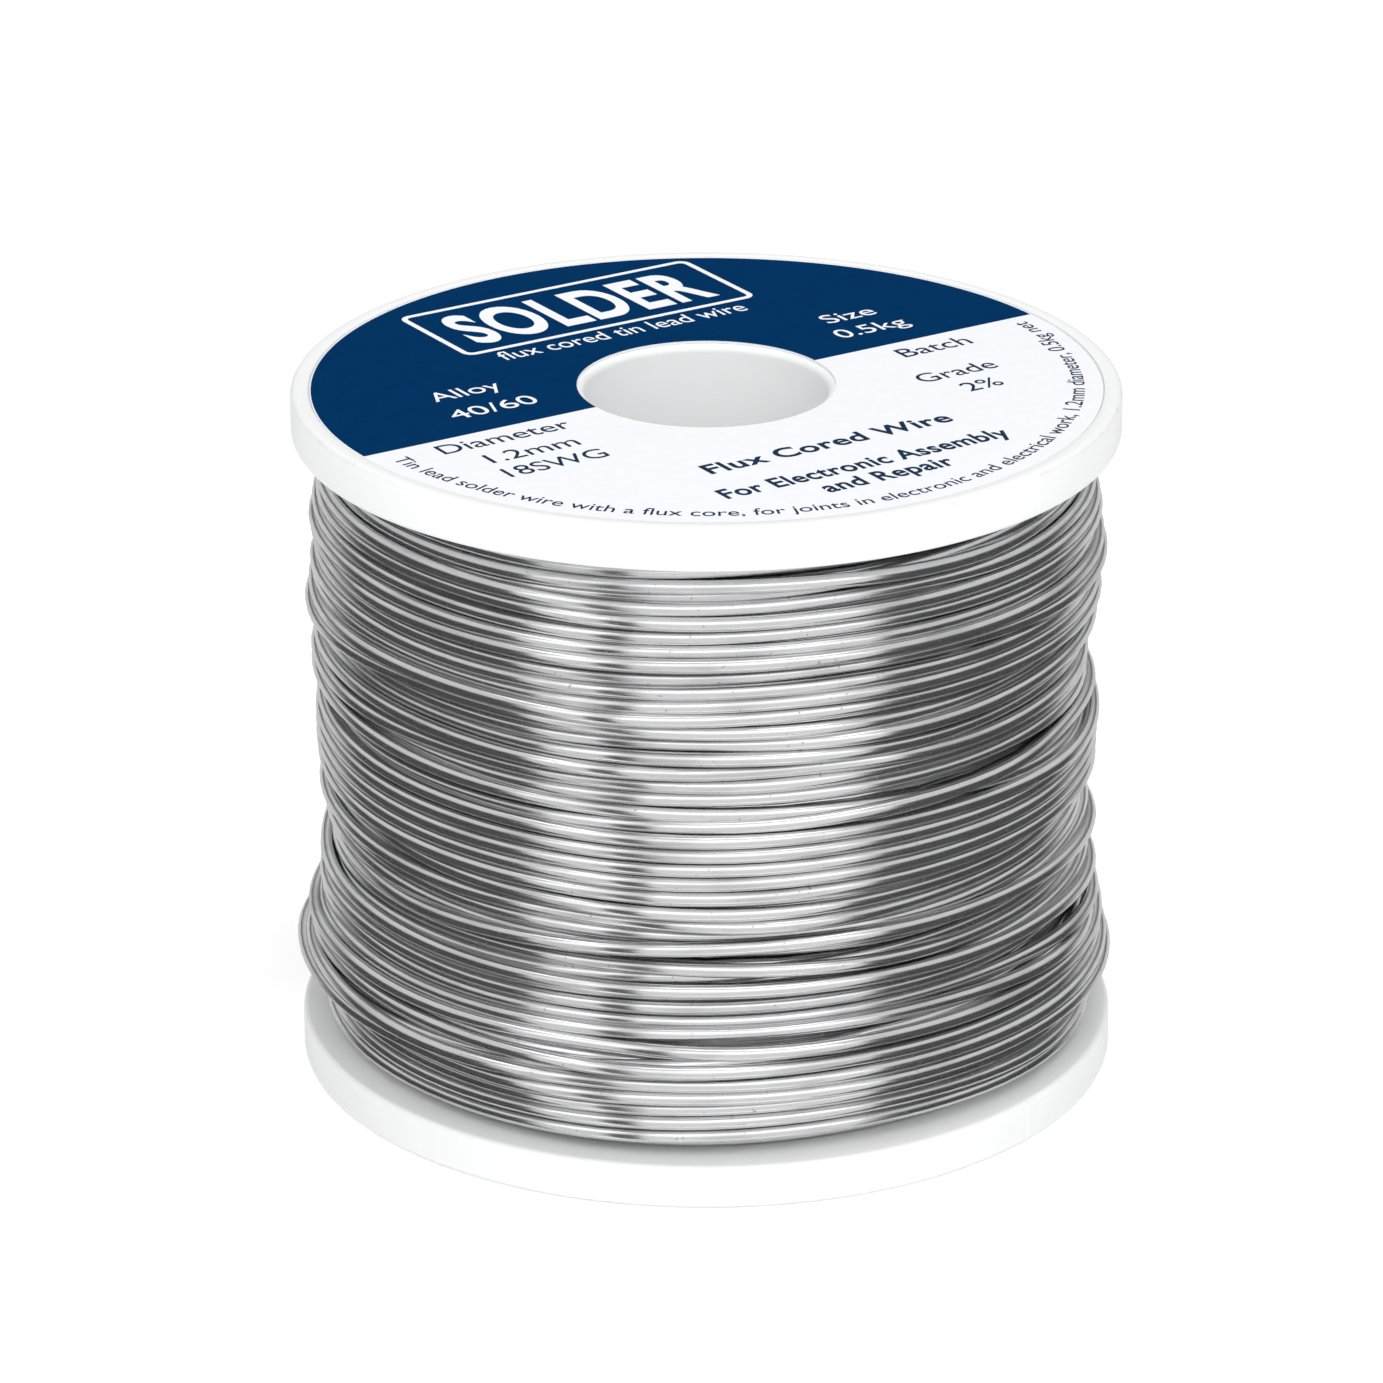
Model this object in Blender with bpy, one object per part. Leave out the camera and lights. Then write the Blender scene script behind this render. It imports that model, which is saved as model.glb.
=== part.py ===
"""A 0.5 kg spool of flux-cored solder wire, as separate solids in metres with +Z up.

The reel is one plastic moulding: two flanges, the barrel that carries the wire, a bore tube for
a spindle, and ribs between barrel and bore tube. A printed label lies in a shallow seat on the
top flange. The wire is one continuous length, and each wound layer of it is a solid of its own.
The origin is the centre of the underside, and the spool turns about Z when a spindle holds it.
"""

import math

import bmesh
import bpy

# Reel moulding
REEL_HEIGHT = 0.0584
FLANGE_RADIUS = 0.0340
FLANGE_THICKNESS = 0.0037
RIM_ROUND = 0.0005
BARREL_RADIUS = 0.0243
BARREL_WALL = 0.0018
BORE_RADIUS = 0.0100
BORE_TUBE_WALL = 0.0016
BORE_MOUTH_ROUND = 0.0006

# Cored pockets between barrel and bore tube, open at the underside
POCKET_COUNT = 6
RIB_THICKNESS = 0.0016
POCKET_ROOF = 0.0022

# Printed label, in a seat sunk into the top flange
LABEL_THICKNESS = 0.0002
LABEL_BORDER = 0.0016
LABEL_SINK = 0.0001

# How the wire is wound. A layer's wires lie in the grooves of the layer below, so the layers are
# closer together than the 1.2 mm wire is thick
LAYER_COUNT = 8
LAYER_PITCH = 0.00105

# The last layer covers the one below unevenly. Each pair is a share of the winding's width, from
# the bottom flange up, and how far the layer swells there past the thinnest cover
THINNEST_COVER = 0.0003
SWELLS = (
    (0.00, 0.0010),
    (0.05, 0.0016),
    (0.11, 0.0017),
    (0.16, 0.0012),
    (0.22, 0.0002),
    (0.38, 0.0000),
    (0.49, 0.0006),
    (0.59, 0.0000),
    (0.72, 0.0005),
    (0.95, 0.0006),
    (1.00, 0.0003),
)

# Clearance that keeps neighbouring solids apart
SEAT_GAP = 0.0003

# Facets round a full turn, and along a quarter round
REEL_FACETS = 72
LAYER_FACETS = 48
ROUND_FACETS = 3

# What follows from the sizes above
WINDING_BOTTOM = FLANGE_THICKNESS + SEAT_GAP
WINDING_TOP = REEL_HEIGHT - FLANGE_THICKNESS - SEAT_GAP
WINDING_WIDTH = WINDING_TOP - WINDING_BOTTOM
LABEL_RADIUS = FLANGE_RADIUS - LABEL_BORDER
LABEL_HOLE_RADIUS = BORE_RADIUS + BORE_MOUTH_ROUND
LABEL_TOP = REEL_HEIGHT - LABEL_SINK
SEAT_HEIGHT = LABEL_TOP - LABEL_THICKNESS - SEAT_GAP


def clear_scene():
    for old in list(bpy.data.objects):
        bpy.data.objects.remove(old, do_unlink=True)


def material(name, colour, roughness, metallic):
    made = bpy.data.materials.new(name)
    made.use_nodes = True
    shader = made.node_tree.nodes["Principled BSDF"]
    shader.inputs["Base Color"].default_value = (*colour, 1.0)
    shader.inputs["Roughness"].default_value = roughness
    shader.inputs["Metallic"].default_value = metallic
    return made


def place(bm, name, finish, parent):
    """Turns a bmesh into a named object that hangs from the spool's empty."""
    mesh = bpy.data.meshes.new(name)
    bmesh.ops.recalc_face_normals(bm, faces=bm.faces)
    bm.to_mesh(mesh)
    bm.free()
    mesh.shade_smooth()
    mesh.set_sharp_from_angle(angle=math.radians(30))
    made = bpy.data.objects.new(name, mesh)
    made.data.materials.append(finish)
    made.parent = parent
    bpy.context.scene.collection.objects.link(made)
    return made


def turned(outline, facets):
    """A full turn about Z of a closed outline of (radius, height) points."""
    bm = bmesh.new()
    corners = [bm.verts.new((radius, 0.0, height)) for radius, height in outline]
    edges = [bm.edges.new(pair) for pair in zip(corners, corners[1:] + corners[:1])]
    bmesh.ops.spin(
        bm,
        geom=corners + edges,
        cent=(0.0, 0.0, 0.0),
        axis=(0.0, 0.0, 1.0),
        angle=math.tau,
        steps=facets,
        use_merge=True,
    )
    return bm


def quarter_round(centre_radius, centre_height, radius, start_degrees):
    """Points of a quarter circle, turning anticlockwise from start_degrees."""
    points = []
    for step in range(ROUND_FACETS + 1):
        angle = math.radians(start_degrees + 90 * step / ROUND_FACETS)
        points.append(
            (centre_radius + radius * math.cos(angle), centre_height + radius * math.sin(angle))
        )
    return points


def rim(bottom, top):
    """The rounded outer edge of one flange, from its lower face to its upper face."""
    centre = FLANGE_RADIUS - RIM_ROUND
    lower = quarter_round(centre, bottom + RIM_ROUND, RIM_ROUND, -90)
    upper = quarter_round(centre, top - RIM_ROUND, RIM_ROUND, 0)
    return lower + upper


def reel_outline():
    """Half section of the moulding, anticlockwise from the bore's lower mouth."""
    mouth_centre = BORE_RADIUS + BORE_MOUTH_ROUND
    label_seat = [
        (LABEL_RADIUS + SEAT_GAP, REEL_HEIGHT),
        (LABEL_RADIUS + SEAT_GAP, SEAT_HEIGHT),
    ]
    barrel = [
        (BARREL_RADIUS, FLANGE_THICKNESS),
        (BARREL_RADIUS, REEL_HEIGHT - FLANGE_THICKNESS),
    ]
    upper_mouth = quarter_round(
        mouth_centre, SEAT_HEIGHT - BORE_MOUTH_ROUND, BORE_MOUTH_ROUND, 90
    )
    lower_mouth = quarter_round(mouth_centre, BORE_MOUTH_ROUND, BORE_MOUTH_ROUND, 180)
    return (
        rim(0.0, FLANGE_THICKNESS)
        + barrel
        + rim(REEL_HEIGHT - FLANGE_THICKNESS, REEL_HEIGHT)
        + label_seat
        + upper_mouth
        + lower_mouth
    )


def pocket_corners(index):
    """Plan of one pocket: two arcs joined along the flat sides of its two ribs."""
    outer = BARREL_RADIUS - BARREL_WALL
    inner = BORE_RADIUS + BORE_TUBE_WALL
    first = math.tau * index / POCKET_COUNT
    last = math.tau * (index + 1) / POCKET_COUNT
    steps = REEL_FACETS // POCKET_COUNT
    corners = []
    for radius, backwards in ((outer, False), (inner, True)):
        rib_share = math.asin(0.5 * RIB_THICKNESS / radius)
        low = first + rib_share
        sweep = last - rib_share - low
        arc = [low + sweep * step / steps for step in range(steps + 1)]
        if backwards:
            arc.reverse()
        corners += [(radius * math.cos(angle), radius * math.sin(angle)) for angle in arc]
    return corners


def pocket_cutter():
    """All pockets as one cutting shape, which starts below the underside."""
    bm = bmesh.new()
    below = -FLANGE_THICKNESS
    roof = REEL_HEIGHT - LABEL_SINK - POCKET_ROOF
    for index in range(POCKET_COUNT):
        floor = bm.faces.new([bm.verts.new((x, y, below)) for x, y in pocket_corners(index)])
        grown = bmesh.ops.extrude_face_region(bm, geom=[floor])
        top = [item for item in grown["geom"] if isinstance(item, bmesh.types.BMVert)]
        bmesh.ops.translate(bm, verts=top, vec=(0.0, 0.0, roof - below))
    return bm


def build_reel(parent):
    plastic = material("white_moulded_plastic", (0.86, 0.87, 0.87), 0.32, 0.0)
    reel = place(turned(reel_outline(), REEL_FACETS), "reel", plastic, parent)
    cutter = place(pocket_cutter(), "pocket_cutter", plastic, parent)
    cutter.hide_render = True
    cutter.display_type = "WIRE"
    cut = reel.modifiers.new("cored_pockets", "BOOLEAN")
    cut.operation = "DIFFERENCE"
    cut.solver = "EXACT"
    cut.object = cutter


def build_label(parent):
    outline = [
        (LABEL_HOLE_RADIUS, LABEL_TOP - LABEL_THICKNESS),
        (LABEL_RADIUS, LABEL_TOP - LABEL_THICKNESS),
        (LABEL_RADIUS, LABEL_TOP),
        (LABEL_HOLE_RADIUS, LABEL_TOP),
    ]
    paper = material("printed_label_paper", (0.03, 0.09, 0.22), 0.45, 0.0)
    place(turned(outline, REEL_FACETS), "top_label", paper, parent)


def build_wound_layers(parent):
    """Every layer is a sleeve; the last one shows the winding's uneven outside."""
    for index in range(LAYER_COUNT):
        inner = BARREL_RADIUS + SEAT_GAP + index * LAYER_PITCH
        outer = inner + LAYER_PITCH - SEAT_GAP
        side = [(outer, WINDING_BOTTOM), (outer, WINDING_TOP)]
        facets = LAYER_FACETS
        if index == LAYER_COUNT - 1:
            thinnest = inner + THINNEST_COVER
            side = [
                (thinnest + rise, WINDING_BOTTOM + share * WINDING_WIDTH)
                for share, rise in SWELLS
            ]
            facets = REEL_FACETS
        outline = [(inner, WINDING_BOTTOM), *side, (inner, WINDING_TOP)]
        name = f"winding_layer_{index + 1}"
        solder = material(f"solder_wire_{index + 1}", (0.55, 0.55, 0.55), 0.3, 1.0)
        place(turned(outline, facets), name, solder, parent)


def build():
    clear_scene()
    spool = bpy.data.objects.new("solder_wire_spool", None)
    bpy.context.scene.collection.objects.link(spool)
    build_reel(spool)
    build_label(spool)
    build_wound_layers(spool)


build()
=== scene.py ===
# %% [markdown]
# # A spool of solder wire
# The real thing is a white moulded reel, a paper label on its top flange, and one wire of more
# than fifty metres, wound back and forth until it fills the reel. The sizes come from the packed
# model: every new piece here is a finer surface for a solid that is already in its place, so the
# first step loads that model and reads its measures.

import math

import bmesh
import bpy
import numpy as np
from mathutils import Matrix, Vector


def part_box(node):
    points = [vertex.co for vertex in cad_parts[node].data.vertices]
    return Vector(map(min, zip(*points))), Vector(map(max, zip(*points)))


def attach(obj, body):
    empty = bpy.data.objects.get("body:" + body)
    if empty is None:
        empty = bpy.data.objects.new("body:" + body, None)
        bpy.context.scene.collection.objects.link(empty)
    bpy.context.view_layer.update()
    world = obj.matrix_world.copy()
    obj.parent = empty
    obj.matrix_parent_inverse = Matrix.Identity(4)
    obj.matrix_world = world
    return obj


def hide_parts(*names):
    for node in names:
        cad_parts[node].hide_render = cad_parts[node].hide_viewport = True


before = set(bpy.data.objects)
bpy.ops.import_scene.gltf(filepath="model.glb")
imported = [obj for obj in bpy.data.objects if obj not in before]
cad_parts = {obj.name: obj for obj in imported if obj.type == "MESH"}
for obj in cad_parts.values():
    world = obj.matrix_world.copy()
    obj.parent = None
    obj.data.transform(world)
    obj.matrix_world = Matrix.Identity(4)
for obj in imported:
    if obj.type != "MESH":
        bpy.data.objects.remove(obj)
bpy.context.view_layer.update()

# %% [markdown]
# A turned part is known by a few radii and heights. A node's vertices hold them, so a small
# helper measures the nearest and the farthest vertex from the Z axis. The solids keep a gap to
# each other that the real pieces don't have, and the finer pieces close it.

# %% Sizes read from the frame
MM = 0.001
SOLID_GAP = 0.3 * MM


def radii(node):
    """The smallest and the largest distance of a node's vertices from the Z axis."""
    distances = [math.hypot(v.co.x, v.co.y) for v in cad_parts[node].data.vertices]
    return min(distances), max(distances)


bore_radius, flange_radius = radii("reel")
barrel_radius = radii("winding_layer_1")[0] - SOLID_GAP
label_hole_radius, label_radius = radii("top_label")
reel_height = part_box("reel")[1].z
flange_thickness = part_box("winding_layer_1")[0].z - SOLID_GAP
label_bottom, label_top = (corner.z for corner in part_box("top_label"))
print(f"reel {2000 * flange_radius:.1f} x {1000 * reel_height:.1f} mm,"
      f" barrel {2000 * barrel_radius:.1f} mm, bore {2000 * bore_radius:.1f} mm")

# %% [markdown]
# ## Camera
# A product picture is taken from far off with a long lens, so that the near and the far rim of
# the reel look almost the same size. The camera stands in front of the spool, on the -Y side,
# and looks down on it by about 22 degrees. The lens is long and the sensor's shift is tiny: it
# only puts the spool a little below and beside the middle of the frame.

# %% Camera
CAMERA_DISTANCE = 0.5918
CAMERA_ELEVATION = math.radians(22.125)
CAMERA_LENS = 185.05
CAMERA_SHIFT = (-0.01074, 0.01577)

camera_data = bpy.data.cameras.new("camera")
camera_data.sensor_width = 36.0
camera_data.lens = CAMERA_LENS
camera_data.shift_x, camera_data.shift_y = CAMERA_SHIFT
camera = bpy.data.objects.new("camera", camera_data)
bpy.context.scene.collection.objects.link(camera)
camera.location = (
    0.0,
    -CAMERA_DISTANCE * math.cos(CAMERA_ELEVATION),
    0.5 * reel_height + CAMERA_DISTANCE * math.sin(CAMERA_ELEVATION),
)
camera.rotation_euler = (0.5 * math.pi - CAMERA_ELEVATION, 0.0, 0.0)
bpy.context.scene.camera = camera
print("camera at", [round(x, 3) for x in camera.location])

# %% [markdown]
# ## The wire
# A winding machine turns the reel while a guide lays the wire from one flange to the other and
# back. Each turn lies in the grooves of the turns below, but soft solder drifts, so turns crowd
# together, climb on each other and leave gaps. Random wobble on a perfect helix never looks
# right, because then the wires pass through each other. So the script winds the spool the way
# the machine does: the guide's height is planned first, and then each turn is laid on what is
# already there.
#
# The guide runs from flange to flange six times. After that it dwells at the bottom, in the
# middle and near the top, which is why the finished outside bulges there. A last pass down covers
# everything. It is even but for three places where the guide slipped and hurried back, so that a
# turn crosses its neighbours there. Each step of the plan is a number of turns and the share of
# the width that the guide has reached at its end.

# %% The guide's plan
WIRE_MM = 1.2
WINDING_SEED = 13
SLICES = 96
FULL_LAYER_TURNS = 40
FLANGE_PLAY_MM = 0.05
plan = [(FULL_LAYER_TURNS, share) for share in (1, 0, 1, 0, 1, 0)]
plan += [(7.5, 0.19), (3.6, 0.08), (0.6, 0.20), (1.8, 0.43), (4.0, 0.53), (1.2, 0.70)]
plan += [(6.5, 0.93), (0.8, 1.0)]
plan += [(5.3, 0.885), (0.55, 0.845), (0.55, 0.865), (10.9, 0.605), (0.55, 0.53), (0.65, 0.575)]
plan += [(11.2, 0.31), (0.5, 0.265), (0.6, 0.295), (11.2, 0.02)]

turn_count = int(sum(turns for turns, share in plan))
slice_turns = np.arange(turn_count * SLICES) / SLICES
plan_turns = np.cumsum([0] + [turns for turns, share in plan])
guide_share = np.interp(slice_turns, plan_turns, [0] + [share for turns, share in plan])
lowest_mm = flange_thickness / MM + 0.5 * WIRE_MM + FLANGE_PLAY_MM
highest_mm = (reel_height - flange_thickness) / MM - 0.5 * WIRE_MM - FLANGE_PLAY_MM
guide_mm = lowest_mm + (highest_mm - lowest_mm) * guide_share
print(turn_count, "turns, guide from", round(lowest_mm, 2), "to", round(highest_mm, 2), "mm")

# %% [markdown]
# The guide and the hand that brakes the wire both waver. Smooth noise gives that: random values
# at a few knots per turn, joined by an S-shaped blend so that the wire never kinks. A few loops
# near the end were laid slack, and they stray further. The seed is fixed, so that each run winds
# the same spool. It isn't just any seed: this one, the turns in a full pass, the first two dwells
# of the plan and the contact distance below were picked together out of some 180 sets tried, as
# the set whose outline came closest to a real spool's.

# %% The guide wavers
chance = np.random.default_rng(WINDING_SEED)


def smooth_noise(knots_per_turn, size_mm):
    """Random values at evenly spaced knots along the wire, blended so that there are no kinks."""
    place = slice_turns * knots_per_turn
    knots = chance.normal(0, size_mm, int(place[-1]) + 3)
    before = place.astype(int)
    share = place - before
    blend = share * share * (3 - 2 * share)
    return knots[before] * (1 - blend) + knots[before + 1] * blend


for knots_per_turn, size_mm in ((0.35, 0.08), (1.3, 0.05), (4.0, 0.015)):
    guide_mm = guide_mm + smooth_noise(knots_per_turn, size_mm)

for turns_before_end, spread_turns, stray_mm in (
    (36.3, 0.22, 0.9), (30.1, 0.15, -0.7), (24.6, 0.18, 0.8), (13.4, 0.25, 0.9),
):
    away = (slice_turns - (turn_count - turns_before_end)) / spread_turns
    guide_mm = guide_mm + stray_mm * np.exp(-away * away)
guide_mm = np.clip(guide_mm, lowest_mm, highest_mm).reshape(turn_count, SLICES)
print("from turn to turn the guide moves", round(float(np.abs(np.diff(guide_mm, axis=0)).mean()), 2),
      "mm on average")

# %% [markdown]
# At every slice of a turn the wire rests on the highest wire below it. Two round wires touch
# when their centres are a diameter apart, so a wire that lies sideways by a gap stands higher by
# the square root of the diameter squared less the gap squared. The soft metal dents a little
# where it crosses, so that distance is slightly under the diameter. By how much wasn't measured:
# the value came out of the same trials as the seed. The slope of that contact
# says which way the wire would slide, and a small amount under its root keeps it finite where two
# wires only just touch.

# %% What a turn rests on
CONTACT_MM = 1.14
LEAST_REACH_MM2 = 0.02
NEAR_TURNS = 130
columns = np.arange(SLICES)
barrel_centre_mm = barrel_radius / MM + 0.5 * WIRE_MM


def resting(height, laid_height, laid_radius):
    """The radius at which a turn of these heights rests in each slice, and its sliding slope."""
    if len(laid_height) == 0:
        return np.full(SLICES, barrel_centre_mm), np.zeros(SLICES)
    gap = height[None] - laid_height
    reach = np.clip(CONTACT_MM**2 - gap**2, 0, None)
    rest = np.where(reach > 0, laid_radius + np.sqrt(reach), 0)
    highest = rest.argmax(0)
    top = rest[highest, columns]
    slope = -gap[highest, columns] / np.sqrt(reach[highest, columns] + LEAST_REACH_MM2)
    slope = np.where(top > barrel_centre_mm, slope, 0)
    return np.maximum(top, barrel_centre_mm), slope


def softened(before, values, spread):
    """Values along the wire, blurred over a spread of slices together with what lies before."""
    half = int(3 * spread)
    weights = np.exp(-0.5 * (np.arange(-half, half + 1) / spread) ** 2)
    ahead = np.repeat(values[-1], half)
    line = np.concatenate([before[-half:], values, ahead])
    return np.convolve(line, weights / weights.sum(), "valid")


print("a turn starts", round(barrel_centre_mm, 2), "mm from the axis")

# %% [markdown]
# Each turn then settles in small steps: it slides down the slope, the guide pulls it back, and
# the wire's stiffness smooths it along its length. Once it is at rest, the wire can't drop into
# a dip that is shorter than it can bend, so its radius is bridged over such dips.

# %% Wind the spool
SETTLING_STEPS = 24
SLIDE = 0.08
STEEPEST_SLOPE = 1.6
GUIDE_PULL = 0.04
STIFF_SLICES = 2.2
REST_BLUR_SLICES = 1.2
BRIDGE_SLICES = 5
BRIDGE_DROP_MM = 0.30

turn_height = np.zeros((turn_count, SLICES))
turn_radius = np.zeros((turn_count, SLICES))
for turn in range(turn_count):
    first_near = max(0, turn - NEAR_TURNS)
    laid = (turn_height[first_near:turn], turn_radius[first_near:turn])
    height = guide_mm[turn].copy()
    before = turn_height[turn - 1] if turn else height
    for step in range(SETTLING_STEPS):
        rest, slope = resting(height, *laid)
        height = height - SLIDE * np.clip(slope, -STEEPEST_SLOPE, STEEPEST_SLOPE)
        height = height + GUIDE_PULL * (guide_mm[turn] - height)
        height = np.clip(softened(before, height, STIFF_SLICES), lowest_mm, highest_mm)
    rest, slope = resting(height, *laid)
    before = turn_radius[turn - 1] if turn else rest
    line = np.concatenate([before[-BRIDGE_SLICES:], rest, np.repeat(rest[-1], BRIDGE_SLICES)])
    for away in range(-BRIDGE_SLICES, BRIDGE_SLICES + 1):
        start = BRIDGE_SLICES + away
        rest = np.maximum(rest, line[start:start + SLICES] - BRIDGE_DROP_MM * abs(away))
    turn_height[turn] = height
    turn_radius[turn] = softened(before, rest, REST_BLUR_SLICES)

# %% [markdown]
# The settled heights and radii become points on one long line. The line starts at the back of
# the spool, where its two ends don't show. Each turn was settled by itself, which leaves a faint
# kink where it joins the next, so both values are blurred once more along the whole wire. That
# lets neighbours sink into each other by a few tenths of a millimetre in the worst places. The cut
# end is springy, and the last eighth of a turn lifts a little off the winding.

# %% One line of points
START_ANGLE = 0.5 * math.pi
HEIGHT_BLUR_SLICES = 4.5
RADIUS_BLUR_SLICES = 1.8
LIFT_SLICES = 12
LIFT_MM = 0.8


def blurred(values, spread):
    """Values along the whole wire, each blended with those beside it."""
    line = values.ravel()
    return softened(np.repeat(line[0], SLICES), line, spread).reshape(values.shape)


def line_length(points):
    """The length of a line through points, in metres."""
    return float(np.linalg.norm(np.diff(points, axis=0), axis=1).sum())


turn_height = blurred(turn_height, HEIGHT_BLUR_SLICES)
turn_radius = blurred(turn_radius, RADIUS_BLUR_SLICES)
turn_radius[-1, -LIFT_SLICES:] += LIFT_MM * np.linspace(0, 1, LIFT_SLICES) ** 2
slice_angle = START_ANGLE + np.tile(columns * math.tau / SLICES, turn_count)
route = np.stack(
    [
        turn_radius.ravel() * np.cos(slice_angle),
        turn_radius.ravel() * np.sin(slice_angle),
        turn_height.ravel(),
    ],
    axis=1,
) * MM
print(f"{line_length(route):.2f} m of wire, widest at {turn_radius.max() + 0.5 * WIRE_MM:.2f} mm")

# %% [markdown]
# A round wire is a curve with a bevel, which is then taken as a mesh tube. The turns that can be
# seen, and those just under them, get a point in every slice and twelve sides. The hidden turns
# below need far less, so they are a second tube with fewer points and sides, which ends where
# the first one starts. Both take the place of the plain sleeves, which are hidden.

# %% The wire as two curves
FINE_TURNS = 80
FINE_BEVEL = 4
HIDDEN_BEVEL = 1
HIDDEN_STEP = 3


def wire_piece(name, points, bevel_resolution):
    """A wire of round section through the points, with closed ends."""
    curve = bpy.data.curves.new(name, "CURVE")
    curve.dimensions = "3D"
    curve.bevel_depth = 0.5 * WIRE_MM * MM
    curve.bevel_resolution = bevel_resolution
    curve.use_fill_caps = True
    spline = curve.splines.new("POLY")
    spline.points.add(len(points) - 1)
    rows = np.concatenate([points, np.ones((len(points), 1))], axis=1)
    spline.points.foreach_set("co", rows.astype(np.float32).ravel())
    spline.use_smooth = True
    maker = bpy.data.objects.new(name, curve)
    bpy.context.scene.collection.objects.link(maker)
    evaluated = maker.evaluated_get(bpy.context.evaluated_depsgraph_get())
    mesh = bpy.data.meshes.new_from_object(evaluated)
    bpy.data.objects.remove(maker, do_unlink=True)
    mesh.name = name
    piece = bpy.data.objects.new(name, mesh)
    bpy.context.scene.collection.objects.link(piece)
    print(name, len(mesh.polygons), "faces")
    return piece


fine_start = (turn_count - FINE_TURNS) * SLICES
hidden_route = route[:fine_start + 1:HIDDEN_STEP]
outer_route = route[fine_start:]
hidden_wire = wire_piece("hidden_wire_turns", hidden_route, HIDDEN_BEVEL)
outer_wire = wire_piece("outer_wire_turns", outer_route, FINE_BEVEL)


sleeves = sorted(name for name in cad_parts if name.startswith("winding_layer"))
for wire, points, far_end, stood_for in (
    (hidden_wire, hidden_route, "object", sleeves[:-2]),
    (outer_wire, outer_route, "bare", sleeves[-2:]),
):
    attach(wire, "root")
    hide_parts(*stood_for)
    print(wire.name, round(line_length(points), 2), "m")

# %% [markdown]
# The wire's outer end is cut off square, and the flux shows in the middle of the cut as a small
# amber dot. By weight the flux is 2% of the wire, but it is so much lighter than the metal that
# its thread takes almost two fifths of the wire's width. Only that dot can be seen, so the piece
# is a short plug that stands a hair out of the cut.

# %% The cut end
FLUX_MM = 0.46
PLUG_LENGTH_MM = 0.30
PLUG_OUT_MM = 0.02


def link_bmesh(bm, name):
    """Makes an object of a bmesh, with its place in its mesh."""
    mesh = bpy.data.meshes.new(name)
    bm.to_mesh(mesh)
    bm.free()
    piece = bpy.data.objects.new(name, mesh)
    bpy.context.scene.collection.objects.link(piece)
    return piece


wire_end = Vector(outer_route[-1])
end_direction = (wire_end - Vector(outer_route[-2])).normalized()
plug_middle = wire_end + end_direction * (PLUG_OUT_MM - 0.5 * PLUG_LENGTH_MM) * MM
flux_bm = bmesh.new()
bmesh.ops.create_cone(
    flux_bm, cap_ends=True, segments=20, radius1=0.5 * FLUX_MM * MM, radius2=0.5 * FLUX_MM * MM,
    depth=PLUG_LENGTH_MM * MM,
    matrix=Matrix.Translation(plug_middle) @ end_direction.to_track_quat("Z", "Y").to_matrix().to_4x4(),
)
flux_core = link_bmesh(flux_bm, "flux_core")
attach(flux_core, "root")
print("the wire ends at", [round(1000 * v, 1) for v in wire_end], "mm")

# %% [markdown]
# ## The reel
# The reel is one injection moulding: two flanges, the barrel under the wire and a tube for the
# spindle. It is round, so its half section is drawn once and spun about the Z axis. The section
# starts as a face with sharp corners. A vertex bevel rounds each kind of corner by its own
# radius while that is still easy, because after the spin every corner is a ring of many edges.

# %% Half section of the reel
RIM_ROUND = 0.5 * MM
MOUTH_ROUND = label_hole_radius - bore_radius
SEAT_ROUND = 0.06 * MM
FILLET = 0.35 * MM
LABEL_PLAY = 0.12 * MM
GLUE = 0.02 * MM
TURN_STEPS = 180

seat_radius = label_radius + LABEL_PLAY
seat_height = label_bottom - GLUE
upper_flange = reel_height - flange_thickness
section_corners = {
    "mouth": [(bore_radius, seat_height), (bore_radius, 0.0)],
    "rim": [
        (flange_radius, 0.0),
        (flange_radius, flange_thickness),
        (flange_radius, upper_flange),
        (flange_radius, reel_height),
    ],
    "fillet": [(barrel_radius, flange_thickness), (barrel_radius, upper_flange)],
    "seat": [(seat_radius, reel_height), (seat_radius, seat_height)],
}
section_order = [
    section_corners["mouth"][1],
    *section_corners["rim"][:2],
    *section_corners["fillet"],
    *section_corners["rim"][2:],
    *section_corners["seat"],
    section_corners["mouth"][0],
]


def section_bmesh(points):
    """A bmesh that holds one closed face in the XZ plane."""
    bm = bmesh.new()
    bm.faces.new([bm.verts.new((radius, 0.0, height)) for radius, height in points])
    return bm


def round_corners(bm, corners, radius, segments):
    """Rounds the corners of a flat section that lie at the given points."""
    chosen = [
        v for v in bm.verts
        if any((v.co - Vector((r, 0.0, h))).length < 1e-6 for r, h in corners)
    ]
    bmesh.ops.bevel(
        bm, geom=chosen, offset=radius, offset_type="OFFSET", segments=segments,
        profile=0.5, affect="VERTICES", material=-1, clamp_overlap=True,
    )
    return len(chosen)


def spun(bm, steps):
    """Spins a section right round the Z axis and drops the face that it started from."""
    bmesh.ops.delete(bm, geom=list(bm.faces), context="FACES_ONLY")
    bmesh.ops.spin(
        bm, geom=list(bm.verts) + list(bm.edges), cent=(0, 0, 0), axis=(0, 0, 1),
        angle=math.tau, steps=steps, use_merge=True,
    )
    bmesh.ops.remove_doubles(bm, verts=list(bm.verts), dist=1e-7)
    bmesh.ops.recalc_face_normals(bm, faces=list(bm.faces))


reel_bm = section_bmesh(section_order)
for kind, radius, segments in (
    ("mouth", MOUTH_ROUND, 5), ("rim", RIM_ROUND, 5), ("fillet", FILLET, 4), ("seat", SEAT_ROUND, 2),
):
    count = round_corners(reel_bm, section_corners[kind], radius, segments)
    print(kind, "rounds", count, "corners by", round(1000 * radius, 2), "mm")
spun(reel_bm, TURN_STEPS)
print("reel", len(reel_bm.faces), "faces")

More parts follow.
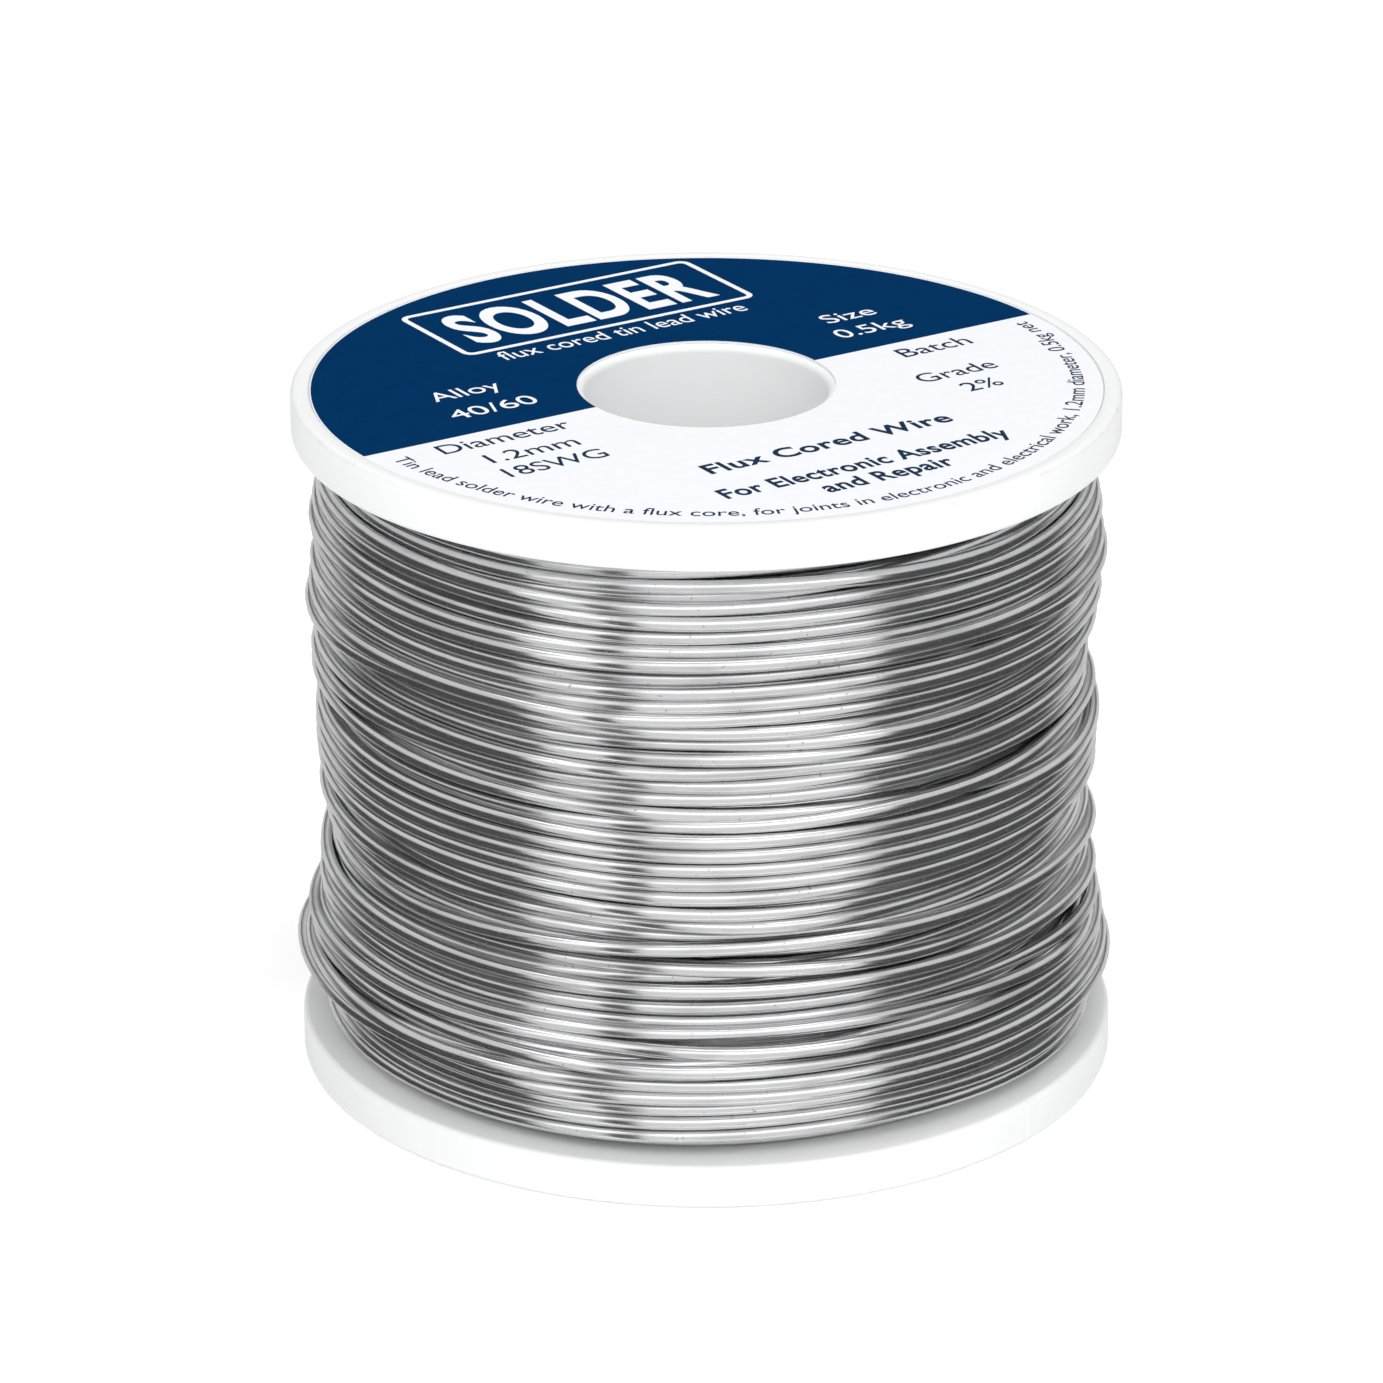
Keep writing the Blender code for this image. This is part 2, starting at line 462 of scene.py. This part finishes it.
# %% [markdown]
# The two halves of the mould meet in a plane through the axis, and where they meet a little
# plastic creeps between them. It leaves a line as thin as a hair down both rims. Two cuts beside
# that plane mark out a narrow strip, and the strip's outer points move out by a few hundredths
# of a millimetre.

# %% The parting line
PARTING_DIRECTION = Vector((0.774, -0.633, 0.0)).normalized()
PARTING_HALF_WIDTH = 0.06 * MM
PARTING_RISE = 0.045 * MM

parting_side = PARTING_DIRECTION.cross(Vector((0, 0, 1)))
for side in (-1, 0, 1):
    bmesh.ops.bisect_plane(
        reel_bm, geom=list(reel_bm.verts) + list(reel_bm.edges) + list(reel_bm.faces),
        dist=1e-8, plane_co=parting_side * side * PARTING_HALF_WIDTH, plane_no=parting_side,
    )
ridge = [
    v for v in reel_bm.verts
    if abs(v.co.dot(parting_side)) < 0.1 * PARTING_HALF_WIDTH
    and v.co.xy.length > flange_radius - 0.2 * RIM_ROUND
]
for v in ridge:
    v.co += Vector((v.co.x, v.co.y, 0.0)).normalized() * PARTING_RISE
print("the parting line moves", len(ridge), "points")

# %% [markdown]
# Thick plastic cools slowly and sinks, so the space between the barrel and the spindle tube is
# cored out from below, with ribs left standing. Such pockets are easiest as a Boolean: a ring is
# cut by the ribs, and what is left of the ring is cut from the reel.

# %% Cutters for the pockets
RIB_COUNT = 6
RIB_THICKNESS = 1.6 * MM
WALL_BARREL = 1.8 * MM
WALL_TUBE = 1.6 * MM
POCKET_ROOF = 2.3 * MM
POCKET_ROUND = 0.8 * MM
POCKET_STEPS = 96
PAST = 2 * MM

core_inner = bore_radius + WALL_TUBE
core_outer = barrel_radius - WALL_BARREL
core_top = reel_height - POCKET_ROOF

ring_bm = section_bmesh(
    [(core_inner, -PAST), (core_outer, -PAST), (core_outer, core_top), (core_inner, core_top)]
)
round_corners(ring_bm, [(core_outer, core_top), (core_inner, core_top)], POCKET_ROUND, 3)
spun(ring_bm, POCKET_STEPS)

ribs_bm = bmesh.new()
rib_length = core_outer - core_inner + 2 * PAST
for rib in range(RIB_COUNT):
    placed = (
        Matrix.Rotation(math.tau * rib / RIB_COUNT, 4, "Z")
        @ Matrix.Translation((0.5 * (core_inner + core_outer), 0.0, 0.5 * reel_height))
        @ Matrix.Diagonal((rib_length, RIB_THICKNESS, reel_height + 4 * PAST, 1.0))
    )
    bmesh.ops.create_cube(ribs_bm, size=1.0, matrix=placed)
print("pockets", round(1000 * (core_outer - core_inner), 1), "mm wide,",
      round(1000 * core_top, 1), "mm deep")

# %% [markdown]
# A Boolean modifier needs its cutter to be another object. Once the shape is right, both cuts
# are applied by taking the evaluated mesh, and the cutters are removed, so that the reel is one
# plain mesh.

# %% Cut the pockets
def cut(piece, cutter):
    """Cuts one object from another for good, and removes the cutter."""
    modifier = piece.modifiers.new("cut", "BOOLEAN")
    modifier.operation = "DIFFERENCE"
    modifier.solver = "EXACT"
    modifier.object = cutter
    evaluated = piece.evaluated_get(bpy.context.evaluated_depsgraph_get())
    result = bpy.data.meshes.new_from_object(evaluated)
    piece.modifiers.clear()
    piece.data = result
    bpy.data.objects.remove(cutter, do_unlink=True)


pockets = link_bmesh(ring_bm, "pocket_cutter")
cut(pockets, link_bmesh(ribs_bm, "rib_cutter"))
reel = link_bmesh(reel_bm, "moulded_reel")
cut(reel, pockets)
reel.data.shade_smooth()
reel.data.set_sharp_from_angle(angle=math.radians(30))
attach(reel, "root")
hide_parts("reel")
print("reel", len(reel.data.polygons), "faces with its pockets")

# %% [markdown]
# ## The label
# The label is a thin disc with a hole, printed blue on one side of a diameter and left white on
# the other. The line between the two has to be as sharp as print, so it is cut into the mesh:
# the disc is turned, a bisect lays an edge along the diameter, and each side takes its own
# material. A second cut close to the rim leaves the hairline of bare paper that a die cut shows
# round the blue.

# %% The label's disc
LABEL_TURN = math.radians(32.64)
LABEL_ROUND = 0.05 * MM
TRIM_WIDTH = 0.10 * MM

label_corners = [
    (label_hole_radius, label_bottom), (label_radius, label_bottom),
    (label_radius, label_top), (label_hole_radius, label_top),
]
trim_corners = label_corners[:3] + [(label_radius - TRIM_WIDTH, label_top)] + label_corners[3:]
label_bm = section_bmesh(trim_corners)
round_corners(label_bm, [label_corners[2]], LABEL_ROUND, 2)
spun(label_bm, TURN_STEPS)
label_across = Matrix.Rotation(LABEL_TURN, 3, "Z") @ Vector((0, 1, 0))
bmesh.ops.bisect_plane(
    label_bm, geom=list(label_bm.verts) + list(label_bm.edges) + list(label_bm.faces),
    dist=1e-8, plane_co=(0, 0, 0), plane_no=label_across,
)
for face in label_bm.faces:
    middle = face.calc_center_median()
    printed = middle.dot(label_across) > 0 and middle.xy.length < label_radius - TRIM_WIDTH
    face.material_index = int(printed and face.normal.z > 0.5)
label = link_bmesh(label_bm, "printed_label")
label.data.shade_smooth()
label.data.set_sharp_from_angle(angle=math.radians(30))
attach(label, "root")
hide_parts("top_label")
print("label", len(label.data.polygons), "faces,",
      sum(p.material_index for p in label.data.polygons), "of them blue")

# %% [markdown]
# ## The print
# The words say only what any such spool says: the alloy, the gauge, the weight. Blender's own
# font draws them. Each line becomes a mesh, is scaled to its width, and is given the thickness
# of a film of ink. Lines of one colour share a piece. Positions are in the label's own plan,
# with X along the diameter between the colours, and the whole plan is turned at the end. A bold
# line is a plain one grown outwards, and its letters stand further apart to make up for it. Text
# comes smooth-shaded, which would round off the flat ink, so each piece is set to flat shading.

# %% From words to ink
INK_THICKNESS = 0.015 * MM
INK_LIFT = 0.004 * MM


def word_mesh(words, boldness):
    """The flat mesh of one line of text at Blender's default size, with its baseline on Y 0."""
    text = bpy.data.curves.new("words", "FONT")
    text.body = words
    text.offset = boldness
    text.space_character = 1 + 3 * boldness
    text.resolution_u = 7
    maker = bpy.data.objects.new("words", text)
    bpy.context.scene.collection.objects.link(maker)
    evaluated = maker.evaluated_get(bpy.context.evaluated_depsgraph_get())
    mesh = bpy.data.meshes.new_from_object(evaluated)
    bpy.data.objects.remove(maker, do_unlink=True)
    return mesh


capital_height = max(v.co.y for v in word_mesh("H", 0.0).vertices)


def add_line(bm, words, width, height, x, y, boldness=0.0):
    """Adds a line of text whose capitals are centred at x, y. Returns its verts."""
    old = set(bm.verts)
    bm.from_mesh(word_mesh(words, boldness))
    new = [v for v in bm.verts if v not in old]
    left, right = min(v.co.x for v in new), max(v.co.x for v in new)
    placed = (
        Matrix.Translation((x, y - 0.5 * height, 0))
        @ Matrix.Diagonal((width / (right - left), height / capital_height, 1, 1))
        @ Matrix.Translation((-0.5 * (left + right), 0, 0))
    )
    bmesh.ops.transform(bm, matrix=placed, verts=new)
    return new


def add_frame(bm, width, height, line, x, y):
    """Adds a printed frame with rounded corners, as wide and high as stated on its outside."""
    placed = Matrix.Translation((x, y, 0)) @ Matrix.Diagonal((width, height, 1, 1))
    made = bmesh.ops.create_grid(bm, x_segments=1, y_segments=1, size=0.5, matrix=placed)
    bmesh.ops.bevel(
        bm, geom=made["verts"], offset=2 * line, offset_type="OFFSET", segments=5,
        profile=0.5, affect="VERTICES", material=-1,
    )
    middle = [f for f in bm.faces if len(f.verts) > 20 and f.calc_area() > 0.9 * width * height]
    bmesh.ops.inset_region(
        bm, faces=middle, thickness=line, use_boundary=True, use_even_offset=True,
    )
    bmesh.ops.delete(bm, geom=middle, context="FACES_ONLY")


def ink_piece(bm, name):
    """Thickens the flat print, turns it with the label and lays it on the label's face."""
    bmesh.ops.remove_doubles(bm, verts=list(bm.verts), dist=1e-7)
    grown = bmesh.ops.extrude_face_region(bm, geom=list(bm.faces))
    top = [item for item in grown["geom"] if isinstance(item, bmesh.types.BMVert)]
    bmesh.ops.translate(bm, verts=top, vec=(0, 0, INK_THICKNESS))
    bmesh.ops.recalc_face_normals(bm, faces=list(bm.faces))
    placed = Matrix.Translation((0, 0, label_top + INK_LIFT)) @ Matrix.Rotation(LABEL_TURN, 4, "Z")
    bmesh.ops.transform(bm, matrix=placed, verts=list(bm.verts))
    piece = link_bmesh(bm, name)
    piece.data.shade_flat()
    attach(piece, "root")
    print(name, len(piece.data.polygons), "faces")
    return piece


# %% [markdown]
# White words stand on the blue half. The biggest line names the goods in plain capitals, inside
# a thin frame. A frame is a rectangle with its corners rounded by a vertex bevel, and an inset of
# its one face leaves the line round it.

# %% White print
CAPITALS = 2.0 * MM
HEADING_CENTRE = (1.25 * MM, 22.0 * MM)

white_bm = bmesh.new()
add_line(white_bm, "SOLDER", 23.6 * MM, 6.9 * MM, *HEADING_CENTRE, boldness=0.03)
add_frame(white_bm, 28.5 * MM, 11.5 * MM, 0.5 * MM, *HEADING_CENTRE)
for words, width, x, y in (
    ("flux cored tin lead wire", 23.9, 1.1, 14.7),
    ("Alloy", 6.4, -17.7, 8.95),
    ("40/60", 7.95, -17.7, 4.45),
    ("Size", 4.9, 19.2, 8.05),
    ("0.5kg", 6.8, 19.0, 4.3),
):
    add_line(white_bm, words, width * MM, CAPITALS, x * MM, y * MM)
white_print = ink_piece(white_bm, "white_print")

# %% [markdown]
# Navy words stand on the white half. The small line at the rim follows the circle, and it is
# bent there by a formula: the distance along the line becomes an angle, and the height above it
# is taken off the radius, so that the letters stand with their heads towards the middle.

# %% Navy print
RIM_TEXT_RADIUS = 30.9 * MM
RIM_TEXT_START = math.radians(-176.5)
RIM_TEXT_END = math.radians(-2.5)
RIM_CAPITALS = 1.4 * MM

navy_bm = bmesh.new()
for words, width, x, y in (
    ("Diameter", 12.0, -20.6, -2.1),
    ("1.2mm", 8.2, -20.3, -5.9),
    ("18SWG", 9.2, -20.25, -9.4),
    ("Batch", 6.8, 20.75, -2.5),
    ("Grade", 7.45, 18.8, -8.55),
    ("2%", 3.45, 18.8, -12.3),
):
    add_line(navy_bm, words, width * MM, CAPITALS, x * MM, y * MM)
for words, width, y in (
    ("Flux Cored Wire", 23.25, -17.3),
    ("For Electronic Assembly", 27.15, -22.7),
    ("and Repair", 12.15, -25.8),
):
    add_line(navy_bm, words, width * MM, CAPITALS, 0.4 * MM, y * MM, boldness=0.022)

rim_words = (
    "Tin lead solder wire with a flux core, for joints in electronic and electrical work,"
    " 1.2mm diameter, 0.5kg net"
)
arc_length = RIM_TEXT_RADIUS * (RIM_TEXT_END - RIM_TEXT_START)
for v in add_line(navy_bm, rim_words, arc_length, RIM_CAPITALS, 0.5 * arc_length, 0.5 * RIM_CAPITALS):
    angle = RIM_TEXT_START + v.co.x / RIM_TEXT_RADIUS
    radius = RIM_TEXT_RADIUS - v.co.y
    v.co = (radius * math.cos(angle), radius * math.sin(angle), 0.0)
navy_print = ink_piece(navy_bm, "navy_print")

# %% [markdown]
# ## Finishes
# A finish is a Principled shader whose colour and roughness vary a little, as on any real
# surface. Shader maths is easier to read as a formula than as a list of nodes, so a small class
# wraps a socket and lets Python's operators add the Math nodes. All other nodes come from one
# method that takes the node's type, its settings and what goes into its sockets.

# %% Shader maths as expressions
class Value:
    """A number that varies over a surface: an output socket that takes part in formulas."""

    def __init__(self, finish, socket):
        self.finish = finish
        self.socket = socket

    def maths(self, operation, *operands):
        return self.finish.node("ShaderNodeMath", {"operation": operation}, dict(enumerate(operands)))

    def __add__(self, other):
        return self.maths("ADD", self, other)

    def __radd__(self, other):
        return self.maths("ADD", other, self)

    def __rsub__(self, other):
        return self.maths("SUBTRACT", other, self)

    def __mul__(self, other):
        return self.maths("MULTIPLY", self, other)

    def __rmul__(self, other):
        return self.maths("MULTIPLY", other, self)


class Nodes:
    """A node tree that is built by calls, each of which returns a value or a colour."""

    def __init__(self, tree):
        self.tree = tree

    def node(self, kind, settings=None, sockets=None, output=0):
        """Adds a node: its settings first, then a value or a link for each named socket."""
        made = self.tree.nodes.new(kind)
        for name, value in (settings or {}).items():
            setattr(made, name, value)
        for name, value in (sockets or {}).items():
            self.feed(made.inputs[name], value)
        return Value(self, made.outputs[output])

    def feed(self, socket, value):
        if isinstance(value, Value):
            self.tree.links.new(value.socket, socket)
        else:
            socket.default_value = value

    def between(self, value, low, high):
        """0 below low, 1 above high, and a smooth rise between them."""
        return self.node(
            "ShaderNodeMapRange", {"interpolation_type": "SMOOTHSTEP"},
            {"Value": value, "From Min": low, "From Max": high},
        )

    def noise(self, vector, scale, detail=2.0, roughness=0.5):
        return self.node(
            "ShaderNodeTexNoise", {},
            {"Vector": vector, "Scale": scale, "Detail": detail, "Roughness": roughness},
        )

    def mix(self, factor, first, second):
        """A colour between two colours, each a value or a colour socket."""
        return self.node(
            "ShaderNodeMix", {"data_type": "RGBA"}, {0: factor, 6: first, 7: second}, output=2
        )

    def bump(self, height, distance, strength=1.0):
        return self.node(
            "ShaderNodeBump", {}, {"Height": height, "Distance": distance, "Strength": strength}
        )

    def vector(self, x, y, z):
        return self.node("ShaderNodeCombineXYZ", {}, {0: x, 1: y, 2: z})

    def position(self, coordinates="Object"):
        """A texture coordinate, and its X, Y and Z."""
        place = self.node("ShaderNodeTexCoord", output=coordinates)
        return place, *(
            self.node("ShaderNodeSeparateXYZ", {}, {0: place}, output=axis) for axis in range(3)
        )

    def from_axis(self, x, y):
        """The distance from the Z axis."""
        return self.node("ShaderNodeMath", {"operation": "SQRT"}, {0: x * x + y * y})


class Finish(Nodes):
    """A material under construction, with its Principled shader."""

    def __init__(self, name, **constants):
        self.material = bpy.data.materials.new(name)
        self.material.use_nodes = True
        super().__init__(self.material.node_tree)
        self.shader = self.tree.nodes["Principled BSDF"]
        for socket, value in constants.items():
            self.shader.inputs[socket.replace("_", " ").title()].default_value = value

    def set(self, socket, value):
        self.feed(self.shader.inputs[socket], value)


def paint(piece, *finishes):
    """Gives a piece its finishes, in the order of its material slots."""
    for finish in finishes:
        piece.data.materials.append(finish.material)


# %% [markdown]
# ### Drawn solder
# Solder wire is drawn through dies, so it is bright, with hair-fine lines along its length. Tin
# and lead also tarnish unevenly and pick up small dents and grey marks from each other. All the
# turns run round the axis, so the pattern reads the distance from the axis and the height in full
# and X and Y much reduced. It then changes fast across the wire and slowly along it, and it meets
# itself after a full turn, which a pattern on the angle would not.

# %% Solder
solder = Finish("bright_solder", metallic=0.96)
place, x, y, z = solder.position()
radius = solder.from_axis(x, y)
streaks = solder.noise(solder.vector(radius + x * 0.02, z, y * 0.02), 4200.0, detail=1.0)
patches = solder.noise(solder.vector(radius + x * 0.35, z, y * 0.35), 420.0)
specks = solder.noise(place, 3600.0, detail=1.0)
marks = solder.between(specks, 0.72, 0.77)
dull = solder.between(patches, 0.45, 0.75)
bright_tin = solder.mix(dull, (0.74, 0.74, 0.745, 1.0), (0.60, 0.60, 0.605, 1.0))
solder.set("Base Color", solder.mix(marks * 0.6, bright_tin, (0.22, 0.22, 0.23, 1.0)))
solder.set("Roughness", 0.13 + dull * 0.07 + streaks * 0.04 + marks * 0.2)
solder.set("Normal", solder.bump(streaks, 0.00001, 0.08))
paint(hidden_wire, solder)
paint(outer_wire, solder)
flux = Finish("amber_flux", base_color=(0.42, 0.20, 0.035, 1.0), roughness=0.25)
paint(flux_core, flux)

# %% [markdown]
# ### White moulded plastic
# The reel is white polystyrene with a satin face. Handling leaves faint scuffs, mostly along the
# outer top edge, where the spool rubs in its box.

# %% Plastic
plastic = Finish("white_polystyrene", roughness=0.35)
place, x, y, z = plastic.position()
radius = plastic.from_axis(x, y)
grain = plastic.noise(place, 2500.0, detail=3.0)
cloud = plastic.noise(place, 90.0, detail=2.0)
edge = plastic.between(radius, flange_radius - 0.40 * MM, flange_radius - 0.15 * MM)
edge = edge * plastic.between(z, reel_height - 0.45 * MM, reel_height - 0.25 * MM)
scratch = plastic.noise(place, 420.0, detail=5.0, roughness=0.7)
scuff = edge * (0.35 + 0.5 * plastic.between(scratch, 0.52, 0.70))
clean = plastic.mix(cloud, (0.86, 0.865, 0.87, 1.0), (0.90, 0.902, 0.905, 1.0))
plastic.set("Base Color", plastic.mix(scuff * 0.4, clean, (0.46, 0.45, 0.43, 1.0)))
plastic.set("Roughness", 0.28 + grain * 0.14 + scuff * 0.3)
plastic.set("Normal", plastic.bump(grain + cloud * 0.5, 0.00002, 0.4))
paint(reel, plastic)

# %% [markdown]
# ### Label paper and ink
# The label is coated paper with a soft shine. The blue is printed, so it shows a faint mottle
# where the ink took unevenly, and paper fibres lift the surface by a few hundredths of a
# millimetre.

# %% Label and ink
def printed_finish(name, light, dark, low_roughness, shine):
    """Coated paper or ink: a mottle between two close colours, and a faint paper relief."""
    finish = Finish(name)
    place, x, y, z = finish.position()
    mottle = finish.noise(place, 900.0, detail=3.0, roughness=0.6)
    fibres = finish.noise(place, 3200.0, detail=2.0)
    finish.set("Base Color", finish.mix(finish.between(mottle, 0.3, 0.7), light, dark))
    finish.set("Specular IOR Level", shine)
    finish.set("Roughness", low_roughness + fibres * 0.12)
    finish.set("Normal", finish.bump(fibres, 0.00002, 0.25))
    return finish


blue_paper = printed_finish(
    "blue_paper", (0.0001, 0.031, 0.110, 1), (0.0001, 0.028, 0.100, 1), low_roughness=0.50, shine=0.003
)
white_paper = printed_finish(
    "white_paper", (0.88, 0.895, 0.93, 1), (0.86, 0.875, 0.91, 1), low_roughness=0.40, shine=0.25
)
white_ink = printed_finish(
    "white_ink", (0.90, 0.91, 0.94, 1), (0.86, 0.88, 0.92, 1), low_roughness=0.45, shine=0.2
)
navy_ink = printed_finish(
    "navy_ink", (0.003, 0.026, 0.070, 1), (0.002, 0.022, 0.060, 1), low_roughness=0.50, shine=0.05
)
paint(label, white_paper, blue_paper)
paint(white_print, white_ink)
paint(navy_print, navy_ink)

# %% [markdown]
# ## Studio
# Shiny round wires show their surroundings more than their own colour, so the studio is planned
# by what the wires mirror. The floor is the simple part: plain, pale and matt. It glows faintly,
# so that it stays pale where the lamps don't reach, and the wires don't mirror it.

# %% Floor
FLOOR_DROP = 0.1 * MM
FLOOR_SIDE = 3.0

floor_bm = bmesh.new()
bmesh.ops.create_grid(floor_bm, x_segments=1, y_segments=1, size=FLOOR_SIDE)
bmesh.ops.translate(floor_bm, verts=list(floor_bm.verts), vec=(0, 0, -FLOOR_DROP))
floor = link_bmesh(floor_bm, "floor")
floor.visible_glossy = False
floor_finish = Finish("pale_floor", roughness=0.9)
floor_finish.set("Base Color", (0.92, 0.92, 0.92, 1.0))
floor_finish.set("Emission Color", (1.0, 1.0, 1.0, 1.0))
floor_finish.set("Emission Strength", 0.25)
paint(floor, floor_finish)

# %% [markdown]
# Two tall soft boxes stand before the spool, and each makes one bright band down the winding.
# Between and beside them the room is dark, so the wires go dark there. How bright a lamp looks in
# a reflection depends on its power for each square metre, so the helper takes that brightness
# and works out the lamp's power from it.

# %% Soft boxes
BOX_DISTANCE = 0.8
BOX_HEIGHT = 2.4


def soft_box(name, azimuth, elevation, distance, width, height, radiance):
    """A rectangular light that faces the spool. Azimuth 0 is the camera's side."""
    light = bpy.data.lights.new(name, "AREA")
    light.shape = "RECTANGLE"
    light.size = width
    light.size_y = height
    light.energy = radiance * math.pi * width * height
    lamp = bpy.data.objects.new(name, light)
    bpy.context.scene.collection.objects.link(lamp)
    turn = math.radians(azimuth)
    rise = math.radians(elevation)
    away = Vector(
        (math.sin(turn) * math.cos(rise), -math.cos(turn) * math.cos(rise), math.sin(rise))
    )
    lamp.location = Vector((0, 0, 0.5 * reel_height)) + distance * away
    lamp.rotation_euler = away.to_track_quat("Z", "Y").to_euler()
    lamp.visible_camera = False
    return lamp


soft_box("left_box", -41.5, 0, BOX_DISTANCE, 0.34, BOX_HEIGHT, 0.75)
soft_box("right_box", 15.8, 0, BOX_DISTANCE, 1.10, BOX_HEIGHT, 0.82)

# %% [markdown]
# Two strips overhead draw a fine, hot line along the upper side of each wire, with the same break
# between them as the soft boxes have. A panel below the table's edge lights the undersides, as
# the pale table top before the spool would. The fills light the matt plastic and the paper only,
# because the wires don't mirror them, so they soften the shadows and leave the bands alone.

# %% Panels and fills
def level_panel(name, left, right, front, back, height, radiance):
    """A horizontal light that faces the spool from above or, at a negative height, from below."""
    light = bpy.data.lights.new(name, "AREA")
    light.shape = "RECTANGLE"
    light.size = right - left
    light.size_y = back - front
    light.energy = radiance * math.pi * light.size * light.size_y
    lamp = bpy.data.objects.new(name, light)
    bpy.context.scene.collection.objects.link(lamp)
    lamp.location = (0.5 * (left + right), 0.5 * (front + back), height)
    lamp.rotation_euler = (0.0 if height > 0 else math.pi, 0.0, 0.0)
    lamp.visible_camera = False
    return lamp


level_panel("left_strip", -0.50, -0.34, -0.26, 0.16, 0.9, 1.8)
level_panel("right_strip", -0.12, 0.40, -0.26, 0.16, 0.9, 1.8)
level_panel("table_glow", -0.55, 0.45, -0.80, -0.05, -0.9, 0.7)
for name, azimuth, elevation, radiance in (
    ("front_fill", 0, 45, 0.82), ("left_fill", -90, 10, 0.26), ("right_fill", 90, 10, 0.38),
):
    fill = soft_box(name, azimuth, elevation, 1.5, 1.6, 1.2, radiance)
    fill.visible_glossy = False

# %% [markdown]
# The room is nearly black apart from a pale ceiling and a pale wall behind the spool, which put
# the soft light line along the top of every wire. Both are formulas of the direction in which a
# ray leaves the scene. The camera sees a plain pale backdrop in their place.

# %% World
world = bpy.data.worlds.new("studio")
bpy.context.scene.world = world
world.use_nodes = True
room = Nodes(world.node_tree)
facing, x, y, z = room.position("Generated")
ceiling = room.between(z, 0.14, 0.50) * 0.68
backdrop = room.between(y, 0.45, 0.75) * room.between(0.0 - z, -0.20, -0.02) * 0.65
brightness = 0.05 + room.node("ShaderNodeMath", {"operation": "MAXIMUM"}, {0: ceiling, 1: backdrop})
seen = room.node("ShaderNodeLightPath")
background = world.node_tree.nodes["Background"]
background.inputs["Color"].default_value = (1.0, 1.0, 1.0, 1.0)
room.feed(background.inputs["Strength"], brightness + seen * (0.9 - brightness))
bpy.context.scene.view_settings.view_transform = "Standard"
